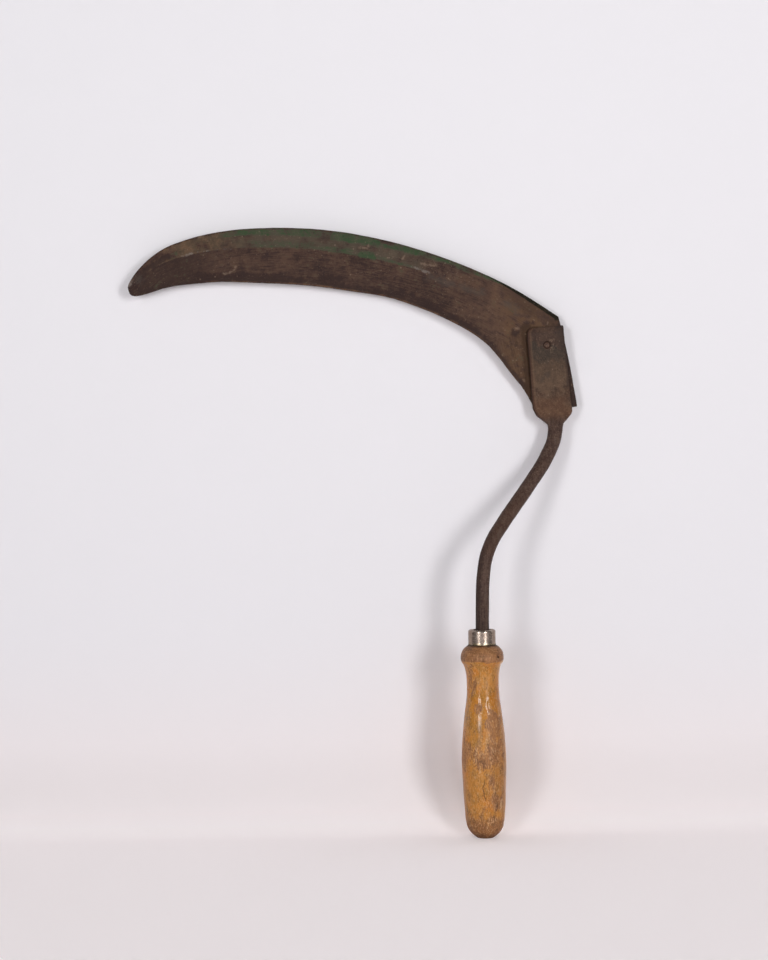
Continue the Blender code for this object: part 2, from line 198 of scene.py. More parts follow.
# Handle: radius and height of the turned outline.
SHOULDER = FERRULE_LOW.z - BORE_GAP
TENON_RADIUS = FERRULE_RADIUS - FERRULE_WALL - BORE_GAP
TENON_TOP = FERRULE_HIGH.z - FERRULE_ROLL - BORE_GAP
BEAD = ((0.01, SHOULDER), (0.0132, 0.1346), (0.0149, 0.1316), (0.01545, 0.1288),
        (0.0151, 0.1258), (0.0136, 0.1234))
GRIP = (BEAD[-1], (0.0126, 0.1206), (0.0119, 0.1172), (0.0115, 0.1085), (0.0119, 0.1002),
        (0.0134, 0.0889), (0.0152, 0.0715), (0.016, 0.0555), (0.0154, 0.0385),
        (0.0145, 0.0202), (0.0139, 0.0125), (0.012, 0.0058), (0.0092, 0.0024), (0.0062, 0.0))
HANDLE_SEGMENTS, HANDLE_STEP = 264, 0.0006
WOOD_WAVE, WOOD_GRAIN, WOOD_PORE, BUTT_WEAR = 0.00016, 0.00004, 0.00006, 0.00025


# Curves and meshes ------------------------------

SHARP_FROM = math.radians(40)


def spline(knots, per_span=8):
    """Smooth curve through the knots, with tangents weighted by the distance between them."""
    knots = np.array(knots, float)
    gaps = np.linalg.norm(np.diff(knots, axis=0), axis=1)[:, None]
    slopes = np.diff(knots, axis=0) / gaps
    middle = (slopes[:-1] * gaps[1:] + slopes[1:] * gaps[:-1]) / (gaps[1:] + gaps[:-1])
    first = 1.5 * slopes[0] - 0.5 * middle[0]
    last = 1.5 * slopes[-1] - 0.5 * middle[-1]
    tangents = np.vstack([first, middle, last])
    points = []
    for i, gap in enumerate(gaps[:, 0]):
        for t in np.arange(per_span) / per_span:
            points.append((1 + 2 * t) * (1 - t) ** 2 * knots[i]
                          + t * (1 - t) ** 2 * gap * tangents[i]
                          + t * t * (3 - 2 * t) * knots[i + 1]
                          + t * t * (t - 1) * gap * tangents[i + 1])
    return np.vstack([points, knots[-1]])


def along(line, shares):
    """Points at the given shares of a line's length."""
    steps = np.linalg.norm(np.diff(line, axis=0), axis=1)
    run = np.concatenate([[0], np.cumsum(steps)])
    return np.column_stack([np.interp(shares, run / run[-1], line[:, k])
                            for k in range(line.shape[1])])


def line_length(line):
    return np.linalg.norm(np.diff(line, axis=0), axis=1).sum()


def smoothstep(low, high, values):
    t = np.clip((values - low) / (high - low), 0, 1)
    return t * t * (3 - 2 * t)


def mix(a, b, share):
    return a + (b - a) * share


def unit(vectors):
    return vectors / np.linalg.norm(vectors, axis=-1, keepdims=True)


def unevenness(rings):
    """A function that gives smooth noise of about -1 to 1 at every point of the rings."""
    points = rings.reshape(-1, 3)

    def rough(size, seed, octaves=3):
        """Features are about the given size across, and each seed gives a pattern of its own."""
        shift = Vector((seed, 1.7 * seed, -2.3 * seed))
        stretch = 1 / np.broadcast_to(size, 3)
        values = [noise.fractal(Vector(p) + shift, 1.0, 2.0, octaves) for p in points * stretch]
        return np.reshape(values, rings.shape[:-1])

    return rough


def reach_to(points, strokes):
    """How far each X, Z point is outside the nearest of the strokes; negative inside one."""
    nearest = np.full(len(points), 1.0)
    for line, radius in strokes:
        for start, end in zip(np.array(line[:-1]), np.array(line[1:])):
            span = end - start
            share = np.clip((points - start) @ span / (span @ span), 0, 1)
            gap = np.linalg.norm(points - start - share[:, None] * span, axis=1)
            nearest = np.minimum(nearest, gap - radius)
    return nearest


def skin(name, rings, traits=None, wrap=False):
    """A closed mesh over rings of equally many points; traits are named values of each point."""
    count, size = rings.shape[:2]
    here = np.arange(count * size).reshape(count, size)
    below = np.roll(here, -1, axis=0)
    if not wrap:
        here, below = here[:-1], below[:-1]
    sides = np.stack([here, below, np.roll(below, -1, axis=1), np.roll(here, -1, axis=1)], axis=2)
    faces = sides.reshape(-1, 4).tolist()
    if not wrap:
        faces += [list(range(size)), list(range((count - 1) * size, count * size))]
    mesh = bpy.data.meshes.new(name)
    mesh.from_pydata(rings.reshape(-1, 3).tolist(), [], faces)
    for trait, values in (traits or {}).items():
        made = mesh.attributes.new(trait, "FLOAT", "POINT")
        made.data.foreach_set("value", np.ravel(values).astype(np.float32))
    shell = bmesh.new()
    shell.from_mesh(mesh)
    bmesh.ops.recalc_face_normals(shell, faces=shell.faces)
    shell.to_mesh(mesh)
    shell.free()
    smooth(mesh)
    return place(name, mesh)


def place(name, data):
    """A new object of the scene."""
    made = bpy.data.objects.new(name, data)
    bpy.context.scene.collection.objects.link(made)
    return made


def smooth(mesh):
    mesh.shade_smooth()
    mesh.set_sharp_from_angle(angle=SHARP_FROM)


def turned(profile, segments):
    """Rings about Z for a profile of radius, height points."""
    angles = np.arange(segments) * 2 * math.pi / segments
    profile = np.array(profile, float)
    rings = np.empty((len(profile), segments, 3))
    rings[:, :, 0] = profile[:, :1] * np.cos(angles)
    rings[:, :, 1] = profile[:, :1] * np.sin(angles)
    rings[:, :, 2] = profile[:, 1:]
    return rings


def carve(target, cutters):
    """Cuts the cutters out of the target for good, and removes them."""
    for cutter in cutters:
        cut = target.modifiers.new(cutter.name, "BOOLEAN")
        cut.operation = "DIFFERENCE"
        cut.object = cutter
    bpy.context.view_layer.update()
    evaluated = target.evaluated_get(bpy.context.evaluated_depsgraph_get())
    carved = bpy.data.meshes.new_from_object(evaluated)
    target.modifiers.clear()
    target.data = carved
    smooth(carved)
    for cutter in cutters:
        bpy.data.objects.remove(cutter)


def finish_piece(piece, node, material):
    """Puts a finished piece in its CAD node's place."""
    piece.data.materials.clear()
    piece.data.materials.append(material)
    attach(piece, BODY)
    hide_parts(node)


# Blade ------------------------------------------

def blade_section(width, unground, chamfer):
    """Outline of the blade across its width: reach from the back edge, and Y."""
    small = min(BACK_CHAMFER, 0.1 * width)
    chamfer_width = mix(small, HEEL_CHAMFER[0], chamfer)
    chamfer_depth = mix(small, HEEL_CHAMFER[1], chamfer)
    bevel = min(BEVEL_WIDTH, 0.2 * width)
    shoulder = mix(GROUND_THICKNESS, BLADE_THICKNESS, unground)
    tip = mix(EDGE_THICKNESS, BLADE_THICKNESS, unground)
    corners = np.array((
        (small, BLADE_REAR), (0, BLADE_REAR - small), (0, BLADE_FRONT + chamfer_depth),
        (chamfer_width, BLADE_FRONT), (BAND_SHARE * width, BLADE_FRONT),
        (width - bevel, BLADE_REAR - shoulder), (width, BLADE_REAR - tip), (width, BLADE_REAR)))
    outline = []
    for corner, after, count in zip(corners, np.roll(corners, -1, axis=0), BLADE_DIVISIONS):
        outline += [mix(corner, after, k / count) for k in range(count)]
    outline = np.array(outline)
    for _ in range(2):
        outline = (np.roll(outline, 1, axis=0) + 2 * outline + np.roll(outline, -1, axis=0)) / 4
    return outline


def blade_relief(rough, from_edge, front):
    """How far the hammered, rusted and worn surface stands off the true one, along Y."""
    bow = BOW_DEPTH * rough(0.06, 3.0, 2)
    dents = DENT_DEPTH * rough(0.011, 11.0)
    pits = -PIT_DEPTH * smoothstep(0.25, 0.8, rough(0.0026, 23.0))
    quiet = smoothstep(0.0, 0.004, from_edge)
    return bow * quiet + mix(-1, 1, front) * (dents * quiet + pits)


def paint_cover(x, across, worn):
    """How much green paint is left on the band, before its edges are broken up."""
    cover = np.zeros(x.shape)
    for start, end, soft, upper, lower, last_lower, amount in PAINT_ZONES:
        lower = mix(lower, last_lower, np.clip((x - start) / (end - start), 0, 1))
        zone = smoothstep(start, start + soft, x) * smoothstep(end, end - soft, x)
        zone *= smoothstep(upper - 0.015, upper + 0.015, across)
        zone *= smoothstep(0.015, -0.015, across - lower)
        cover = np.maximum(cover, amount * zone)
    return cover * mix(0.4, 1, smoothstep(-0.0015, 0.002, worn))


def make_blade():
    """The blade as sections across it, from the nose to the foot of the heel."""
    shares = np.linspace(0.015, 1, BLADE_STATIONS) ** NOSE_CROWDING
    shares = np.concatenate([[0.002], shares])
    heel_shares = np.linspace(0, 1, HEEL_STATIONS + 1)[1:]
    back_line, heel_line = spline(BACK), spline(HEEL_BACK)
    backs = np.vstack([along(back_line, shares), along(heel_line, heel_shares)])
    edges = np.vstack([along(spline(CUTTING_EDGE), shares), along(spline(CHOIL), heel_shares)])
    unground = np.concatenate([smoothstep(*GRIND_RUN_OUT, shares), np.ones(HEEL_STATIONS)])
    chamfers = np.concatenate([smoothstep(HEEL_CHAMFER_START, 1, shares),
                               1 - smoothstep(0, 0.15, heel_shares)])
    run = np.concatenate([shares * line_length(back_line),
                          line_length(back_line) + heel_shares * line_length(heel_line)])
    widths = np.linalg.norm(edges - backs, axis=1)
    sections = np.array([blade_section(*station) for station in zip(widths, unground, chamfers)])
    reach, y = sections[:, :, 0], sections[:, :, 1]
    across = ((edges - backs) / widths[:, None])[:, None, :]
    flat = backs[:, None, :] + across * reach[:, :, None]
    from_back, from_edge = reach, widths[:, None] - reach
    front = smoothstep(BLADE_REAR - 0.0001, BLADE_REAR - 0.0003, y)
    points = np.stack([flat[:, :, 0], y, flat[:, :, 1]], axis=2)

    rough = unevenness(points)
    nicks = NICK_DEPTH * np.maximum(rough(0.0035, 41.0) - 0.2, 0) * smoothstep(0.0016, 0.0, from_edge)
    waves = BACK_WAVE * rough(0.009, 57.0) * smoothstep(0.003, 0.0, from_back)
    shift = waves - nicks
    shift *= smoothstep(0.0, 0.012, run)[:, None]
    points[:, :, 0] += across[:, :, 0] * shift
    points[:, :, 2] += across[:, :, 1] * shift
    relief = blade_relief(rough, from_edge, front)
    points[:, :, 1] -= relief * smoothstep(0.0, 0.01, run)[:, None]

    spots = points[:, :, [0, 2]].reshape(-1, 2)
    traits = {name: reach_to(spots, strokes).reshape(y.shape) for name, strokes in MARKS.items()}
    share = reach / widths[:, None]
    paint = paint_cover(points[:, :, 0], share, traits["worn"])
    patch = 0.5 * smoothstep(0.0016, -0.0016, traits.pop("patch"))
    traits |= {"from_back": from_back, "from_edge": from_edge, "across": share, "front": front,
               "run": np.broadcast_to(run[:, None], y.shape), "paint": np.maximum(paint, patch)}
    return skin("blade_steel_and_paint", points, traits)


# Shank ------------------------------------------

def rounded_outline(left, right, front, rear, corner, count=SHANK_POINTS):
    """Evenly spaced points round a rounded rectangle, from the middle of its rear side."""
    turn = np.linspace(0, math.pi / 2, 10)
    centres = ((corner - left, corner - rear, math.pi), (right - corner, corner - rear, 1.5 * math.pi),
               (right - corner, front - corner, 0.0), (corner - left, front - corner, 0.5 * math.pi))
    middle = ((right - left) / 2, -rear)
    loop = [middle]
    for u, v, start in centres[1:] + centres[:1]:
        loop += [(u + corner * math.cos(start + a), v + corner * math.sin(start + a)) for a in turn]
    return along(np.array(loop + [middle]), np.arange(count) / count)


def shank_rings(top, step, swell=0.0):
    """Sections square to the shank's line from the given height down, and each point's U, V."""
    line = spline(SHANK_LINE)[::-1]
    table = np.array(SHANK_SECTIONS)[::-1]
    heights = np.unique(np.round(np.concatenate(
        [table[:, 0], np.arange(table[0, 0], top, step), [top]]), 5))

    def at(height):
        return np.array([np.interp(height, line[:, 2], line[:, k]) for k in range(3)])

    rings, outlines = [], []
    for height in heights[heights <= top][::-1]:
        down = unit(at(height - 0.001) - at(height + 0.001))
        side = unit(np.cross(down, (0, 1, 0)))
        facing = np.cross(down, side)
        reaches = [np.interp(height, table[:, 0], table[:, k]) + swell for k in range(1, 6)]
        outline = rounded_outline(*reaches)
        rings.append(at(height) + side * outline[:, :1] + facing * outline[:, 1:])
        outlines.append(outline)
    return np.array(rings), np.array(outlines)


def make_shank():
    """Plate, rod and tang in one, hammered and rusted where they show."""
    rings, outlines = shank_rings(SHANK_SECTIONS[0][0], SHANK_STEP)
    outward = unit(rings - rings.mean(axis=1, keepdims=True))
    rough = unevenness(rings)
    height = rings[:, :, 2]
    plate = smoothstep(PALM_FOOT - 0.004, PALM_FOOT + 0.004, height)
    on_face = plate * smoothstep(-0.0012, -0.0018, -outlines[:, :, 1])
    shown = smoothstep(0.14, 0.146, height)
    coarse, fine = ROD_RELIEF
    relief = coarse * rough((0.006, 0.006, 0.016), 5.0) + fine * rough(0.0022, 15.0)
    rings += outward * (relief * (1 - plate) * shown)[:, :, None]
    coarse, fine = SIDE_RELIEF
    relief = coarse * rough(0.006, 25.0) + fine * rough(0.002, 27.0)
    side = smoothstep(0.4, 0.9, abs(outward[:, :, 0])) * plate
    rings[:, :, 0] += np.sign(outward[:, :, 0]) * relief * side
    coarse, fine = FACE_RELIEF
    relief = coarse * rough(0.012, 31.0) + fine * rough(0.003, 33.0)
    rings[:, :, 1] -= relief * on_face
    across = outlines[:, :, 0]
    return skin("shank_forging", rings, {
        "plate": plate,
        "from_left": across - across.min(axis=1, keepdims=True),
        "from_right": across.max(axis=1, keepdims=True) - across})


# Rivets -----------------------------------------

def centre_of(node):
    low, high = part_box(node)
    return (low + high) / 2


def across_the_plate(name, profile, node, segments=48, traits=None):
    """A turned piece whose axis is the rivet's; heights in its profile are Y, from front to rear."""
    rings = turned(profile, segments)
    traits = {trait: np.full(rings.shape[:2], value) for trait, value in (traits or {}).items()}
    traits["off_axis"] = np.hypot(rings[:, :, 0], rings[:, :, 1])
    made = skin(name, rings, traits)
    spot = centre_of(node)
    made.data.transform(Matrix.Translation((spot.x, 0, spot.z)) @ Matrix.Rotation(-math.pi / 2, 4, "X"))
    return made


def arc(radius, height, base, steps=8):
    """Profile of a low dome standing towards the front from the base, from its crown outwards."""
    return [(radius * math.sin(a), base - height * math.cos(a))
            for a in np.linspace(0.02, math.pi / 2, steps)]


def rivet_hole(name, node, seat):
    """A cutter for a rivet hole with a countersunk seat in the plate's front."""
    gap = HOLE_GAP
    radius, depth = seat
    profile = [(0.0001, PALM_FRONT - 0.003), (radius + gap, PALM_FRONT - 0.003),
               (radius + gap, PALM_FRONT + 0.0001), (RIVET_SHAFT + gap, PALM_FRONT + depth),
               (RIVET_SHAFT + gap, BLADE_REAR + 0.003), (0.0001, BLADE_REAR + 0.003)]
    return across_the_plate(name, profile, node)


def make_rivets():
    """The upper rivet has a small worn dome in a dished seat; the lower is hammered flush."""
    radius, height = UPPER_HEAD
    base = PALM_FRONT + 0.0003
    tail = [(RIVET_SHAFT, BLADE_REAR - 0.0002), (RIVET_SHAFT - 0.0004, BLADE_REAR),
            (0.0001, BLADE_REAR + 0.00003)]
    upper = arc(radius, height, base) + [(radius - 0.0002, base + 0.0002),
                                         (RIVET_SHAFT, base + 0.0003)]
    lower = arc(LOWER_SEAT[0] - 0.0001, 0.00012, PALM_FRONT + 0.0001)
    lower += [(RIVET_SHAFT, PALM_FRONT + LOWER_SEAT[1])]
    like_the_plate = {"plate": 1, "from_left": PALM_THICKNESS, "from_right": PALM_THICKNESS}
    return (across_the_plate("rivet_upper_domed", upper + tail, "rivet_upper", 64),
            across_the_plate("rivet_lower_flush", lower + tail, "rivet_lower", 64, like_the_plate))


# Ferrule ----------------------------------------

def make_ferrule():
    """A short tube, rolled inwards at its top and flared a little at its foot."""
    top, foot, radius, wall = FERRULE_HIGH.z, FERRULE_LOW.z, FERRULE_RADIUS, FERRULE_WALL
    turn = np.linspace(FERRULE_ROLL_TURN, 0, 14)
    centre = (radius - FERRULE_ROLL, top - FERRULE_ROLL)

    def rolled(reach, angles):
        return [(centre[0] + reach * math.cos(a), centre[1] + reach * math.sin(a)) for a in angles]

    side = [(radius, z) for z in np.linspace(centre[1] - 0.0004, foot + 0.0024, 16)]
    flare = [(radius + FERRULE_FLARE * t * t, foot + 0.002 * (1 - t)) for t in np.linspace(0, 1, 8)]
    lip = [(radius + FERRULE_FLARE - 0.0001, foot - 0.00005), (radius - wall, foot)]
    bore = [(radius - wall, z) for z in np.linspace(foot + 0.002, centre[1] - 0.0006, 5)]
    profile = rolled(FERRULE_ROLL, turn) + side + flare + lip + bore
    profile += rolled(FERRULE_ROLL - wall, turn[::-1])
    rings = turned(profile, 192)
    waves = unevenness(rings)(0.0045, 71.0, 2)
    relief = FERRULE_WAVE * waves - FERRULE_DENT * smoothstep(0.35, 0.8, waves)
    rings += unit(rings * (1, 1, 0)) * relief[:, :, None]
    return skin("ferrule_plated", rings, wrap=True)


# Handle -----------------------------------------

# Dents in the wood: angle round the handle from the front in degrees, height, radius, depth.
DENTS = ((18, 0.095, 0.003, 0.00025), (-30, 0.074, 0.004, 0.0003), (35, 0.052, 0.005, 0.00035),
         (-55, 0.03, 0.004, 0.0003), (8, 0.066, 0.0035, 0.0002), (60, 0.024, 0.006, 0.00045),
         (-12, 0.014, 0.005, 0.0003), (150, 0.06, 0.006, 0.0004), (205, 0.1, 0.004, 0.0003),
         (250, 0.038, 0.006, 0.0004), (-40, 0.13, 0.0022, 0.00025), (22, 0.126, 0.002, 0.0002))
# Cracks: angle, height of the top and of the foot, depth.
CRACKS = ((-5, 0.0475, 0.0245, 0.00038), (-5, 0.06, 0.05, 0.00025), (34, 0.03, 0.018, 0.0003),
          (170, 0.07, 0.03, 0.0004), (-75, 0.09, 0.078, 0.00025))
NAIL_HOLE = (44, 0.1293, 0.0007, 0.0012)        # in the terms of the dents


def handle_profile():
    """Tenon, shoulder, bead and grip, close enough together to carry dents and cracks."""
    outline = np.vstack([spline(BEAD, 12), spline(GRIP, 12)[1:]])
    count = round(line_length(outline) / HANDLE_STEP)
    outline = along(outline, np.linspace(0, 1, count))
    tenon = [(r, TENON_TOP) for r in (0.006, 0.0074, TENON_RADIUS - 0.0002)]
    tenon += [(TENON_RADIUS, TENON_TOP - 0.0002), (TENON_RADIUS, SHOULDER)]
    butt = [(r, 0.0) for r in (0.0058, 0.004, 0.002)]
    return np.vstack([tenon, outline, butt])


def around_handle(points, degrees, height):
    """How far each point is round the handle from an angle, and above a height, in metres."""
    angle = np.degrees(np.arctan2(points[:, :, 0], -points[:, :, 1]))
    turn = (angle - degrees + 180) % 360 - 180
    radius = np.hypot(points[:, :, 0], points[:, :, 1])
    return np.radians(turn) * radius, points[:, :, 2] - height


def from_nail_hole(rings):
    return np.hypot(*around_handle(rings, *NAIL_HOLE[:2]))


def handle_relief(rings):
    """How far the worn, dented and cracked surface stands off the turned one."""
    rough = unevenness(rings)
    height = rings[:, :, 2]
    relief = WOOD_WAVE * rough(0.022, 81.0, 2)
    relief += WOOD_GRAIN * rough((0.0016, 0.0016, 0.02), 83.0)
    relief -= WOOD_PORE * smoothstep(0.3, 0.8, rough((0.0008, 0.0008, 0.006), 87.0))
    for degrees, level, radius, depth in DENTS:
        round_way, up = around_handle(rings, degrees, level)
        gap = np.hypot(round_way, up / 1.6) / radius
        relief -= depth * smoothstep(1.0, 0.2, gap)
    radius, depth = NAIL_HOLE[2:]
    relief -= depth * smoothstep(1.0, 0.5, from_nail_hole(rings) / radius)
    relief -= crack_depth(rings)
    worn_end = smoothstep(0.016, 0.004, height) * (height > 0.0001)
    relief -= BUTT_WEAR * worn_end * smoothstep(-0.2, 0.6, rough(0.007, 91.0))
    return relief * smoothstep(0.0002, 0.0012, height) * (height < SHOULDER - 0.0002)


def crack_depth(rings):
    """Narrow splits that run up the grain and wander a little."""
    depth = np.zeros(rings.shape[:2])
    for degrees, top, foot, deep in CRACKS:
        middle, half = (top + foot) / 2, (top - foot) / 2
        round_way, up = around_handle(rings, degrees, middle)
        wander = 0.0006 * np.sin(up * 420 + degrees) + 0.0003 * np.sin(up * 1100)
        taper = smoothstep(half, 0.3 * half, abs(up))
        depth = np.maximum(depth, deep * taper * smoothstep(0.0005, 0.0001, abs(round_way + wander)))
    return depth


# Where the varnish is worn away: angle in degrees, height, half-width, half-height, amount.
BARE_WOOD_PATCHES = (
    (-42, 0.113, 0.0046, 0.012, 0.6), (-22, 0.0935, 0.0046, 0.0046, 0.75),
    (26, 0.082, 0.0066, 0.0135, 0.95), (-52, 0.063, 0.006, 0.008, 0.6),
    (-8, 0.058, 0.008, 0.01, 0.75), (34, 0.062, 0.008, 0.012, 0.8),
    (16, 0.041, 0.004, 0.01, 0.6), (28, 0.026, 0.008, 0.007, 0.9),
    (-6, 0.022, 0.004, 0.006, 0.45), (110, 0.088, 0.009, 0.014, 0.8),
    (150, 0.05, 0.01, 0.018, 0.8), (200, 0.085, 0.008, 0.016, 0.7),
    (230, 0.035, 0.01, 0.014, 0.8), (290, 0.06, 0.008, 0.016, 0.8),
    (250, 0.105, 0.006, 0.008, 0.6))

# Pale scuffs in the wood, in the same terms; the first, low on the right side, is a painted highlight.
SCUFFS_AND_HIGHLIGHT = ((48, 0.0254, 0.0022, 0.005, 0.9), (-14, 0.05, 0.002, 0.003, 0.5),
          (-24, 0.061, 0.0014, 0.01, 0.6), (4, 0.07, 0.0012, 0.005, 0.6),
          (20, 0.014, 0.006, 0.004, 0.6), (205, 0.04, 0.002, 0.008, 0.8))


def patches(rings, table):
    """How much each soft oval patch of a table covers."""
    covers = []
    for degrees, level, wide, tall, amount in table:
        round_way, up = around_handle(rings, degrees, level)
        covers.append(amount * smoothstep(1.35, 0.3, np.hypot(round_way / wide, up / tall)))
    return covers


def make_handle():
    """The turned handle, with the values that its wood and varnish are coloured by."""
    rings = turned(handle_profile(), HANDLE_SEGMENTS)
    hole = smoothstep(0.0011, 0.0006, from_nail_hole(rings))
    traits = {
        "crack": np.maximum(smoothstep(0.0001, 0.0003, crack_depth(rings)), hole),
        "varnish": np.maximum(1 - np.sum(patches(rings, BARE_WOOD_PATCHES), axis=0), 0),
        "pale": np.max(patches(rings, SCUFFS_AND_HIGHLIGHT), axis=0)}
    rings += unit(rings * (1, 1, 0)) * handle_relief(rings)[:, :, None]
    return skin("handle_turned_wood", rings, traits)


# Materials --------------------------------------

class Field:
    """A node's output that can be used in sums."""

    def __init__(self, recipe, socket):
        self.recipe, self.socket = recipe, socket

    def __add__(self, other):
        return self.recipe.sum("ADD", self, other)

    def __sub__(self, other):
        return self.recipe.sum("SUBTRACT", self, other)

    def __rsub__(self, other):
        return self.recipe.sum("SUBTRACT", other, self)

    def __mul__(self, other):
        return self.recipe.sum("MULTIPLY", self, other)

    def __or__(self, other):
        return self.recipe.sum("MAXIMUM", self, other)

    __radd__, __rmul__ = __add__, __mul__

    def step(self, low, high):
        """Smooth step from 0 at low to 1 at high; low may be above high."""
        rising = low < high
        return self.recipe.field("Result", "ShaderNodeMapRange", {
            "Value": self, "From Min": min(low, high), "From Max": max(low, high),
            "To Min": 0.0 if rising else 1.0, "To Max": 1.0 if rising else 0.0},
            interpolation_type="SMOOTHSTEP")

    def between(self, start, low, high, end):
        """1 from low to high, and smoothly down to 0 at start and end."""
        return self.step(start, low) * self.step(end, high)


def sway(*parts):
    """Noises added up by their weights, so that the sum swings about 0."""
    total = 0.0
    for field, weight in parts:
        total = (field - 0.5) * weight + total
    return total


class Recipe:
    """A material built by short calls, each of which adds nodes and returns a field."""

    def __init__(self, name, **constants):
        self.material = bpy.data.materials.new(name)
        self.material.use_nodes = True
        self.tree = self.material.node_tree
        self.surface = self.tree.nodes["Principled BSDF"]
        self.join(self.surface, {key.replace("_", " "): value for key, value in constants.items()})
        self.place = self.field("Object", "ShaderNodeTexCoord")
        parts = self.add("ShaderNodeSeparateXYZ", {"Vector": self.place}).outputs
        self.x, self.y, self.z = (Field(self, parts[axis]) for axis in "XYZ")

    def join(self, node, inputs):
        """Links a node's sockets to fields, and sets those whose values are constants."""
        for key, value in inputs.items():
            if isinstance(value, Field):
                self.tree.links.new(value.socket, node.inputs[key])
            else:
                node.inputs[key].default_value = value

    def add(self, kind, inputs=None, **settings):
        node = self.tree.nodes.new(kind)
        for name, value in settings.items():
            setattr(node, name, value)
        self.join(node, inputs or {})
        return node

    def field(self, output, kind, inputs=None, **settings):
        """The output of a new node."""
        return Field(self, self.add(kind, inputs, **settings).outputs[output])

    def sum(self, operation, a, b):
        return self.field(0, "ShaderNodeMath", {0: a, 1: b}, operation=operation)

    def read(self, trait):
        return self.field("Fac", "ShaderNodeAttribute", attribute_name=trait)

    def vector(self, x, y, z):
        return self.field("Vector", "ShaderNodeCombineXYZ", {"X": x, "Y": y, "Z": z})

    def scaled(self, size, where=None):
        stretch = tuple(1 / s for s in np.broadcast_to(size, 3))
        return self.field(0, "ShaderNodeVectorMath", {0: where or self.place, 1: stretch},
                          operation="MULTIPLY")

    def turned_round(self):
        """The place with its axes swapped, for a second pattern unlike the first."""
        return self.vector(self.z, self.y, self.x)

    def noise(self, size, detail=4.0, where=None, rough=0.55):
        """Noise of 0 to 1 with features about the given size across, in metres."""
        return self.field("Fac", "ShaderNodeTexNoise", {
            "Vector": self.scaled(size, where), "Scale": 1.0, "Detail": detail,
            "Roughness": rough})

    def cells(self, size, where=None):
        """Distance from the nearest of scattered points, about 0 to 1."""
        return self.field("Distance", "ShaderNodeTexVoronoi", {
            "Vector": self.scaled(size, where), "Scale": 1.0})

    def blend(self, share, a, b):
        """Colour a where share is 0, b where it is 1."""
        a, b = (tone if isinstance(tone, Field) else (*tone, 1) for tone in (a, b))
        return self.field(2, "ShaderNodeMix", {0: share, 6: a, 7: b}, data_type="RGBA")

    def layer(self, colour, *coats):
        """Coats of colour over the first one, each with the share it covers."""
        for share, coat in coats:
            colour = self.blend(share, colour, coat)
        return colour

    def finish(self, colour, roughness, height, depth, **others):
        """Joins the fields to the surface; height of 0 to 1 is a relief of the given depth."""
        bump = self.field("Normal", "ShaderNodeBump", {
            "Height": height, "Distance": depth, "Strength": 1.0})
        self.join(self.surface, {
            "Base Color": colour, "Roughness": roughness, "Normal": bump, **others})
        return self.material


PURPLE_RUST = (0.028, 0.014, 0.012)
BROWN_RUST = (0.089, 0.048, 0.032)
TAN_RUST = (0.13, 0.072, 0.042)
RED_RUST = (0.06, 0.026, 0.016)
OLIVE_RUST = (0.078, 0.058, 0.033)
PALE_RUST = (0.27, 0.185, 0.13)
BLACK_SCALE = (0.012, 0.008, 0.006)
BLACK_OLIVE = (0.008, 0.006, 0.002)
GREY_STEEL = (0.072, 0.056, 0.046)
BARE_STEEL = (0.36, 0.31, 0.28)
TIP_SCALE = (0.025, 0.0125, 0.0105)
DUSTY_RUST = (0.074, 0.058, 0.04)
WARM_RUST = (0.106, 0.055, 0.024)
RUBBED_RUST = (0.15, 0.106, 0.078)
# rust caught round the plate, deepened into painted contact shade
RUST_AND_SHADE_BY_PLATE = (0.042, 0.02, 0.009)
RIVET_GAP = (0.03, 0.014, 0.009)
GREEN_PAINT = (0.023, 0.054, 0.019)
OLIVE_PAINT = (0.044, 0.058, 0.027)
FADED_PAINT = (0.052, 0.056, 0.035)
# The darker and lighter tone of a mottled metal.
PLATE_TONES = ((0.031, 0.0165, 0.011), (0.105, 0.061, 0.039))
ROD_TONES = ((0.04, 0.021, 0.0165), (0.109, 0.066, 0.049))
RIVET_TONES = ((0.058, 0.03, 0.021), (0.118, 0.068, 0.047))
NICKEL_TONES = ((0.37, 0.29, 0.235), (0.6, 0.505, 0.435))


def blade_tones(steel):
    """The noises and traits that the blade's layers share."""
    lengthwise = steel.vector(steel.read("run"), steel.read("from_back"), steel.y)
    return SimpleNamespace(
        broad=steel.noise(0.022, 3), mottle=steel.noise(0.0062, 5, rough=0.62),
        cloud=steel.noise(0.0095, 4, steel.turned_round()),
        grain=steel.noise(0.0021, 4, rough=0.65), grit=steel.noise(0.001, 3),
        streaks=steel.noise((0.013, 0.001, 0.002), 4, lengthwise),
        scratches=steel.noise((0.006, 0.0005, 0.002), 3, lengthwise),
        from_back=steel.read("from_back"), from_edge=steel.read("from_edge"),
        across=steel.read("across"), front=steel.read("front"))


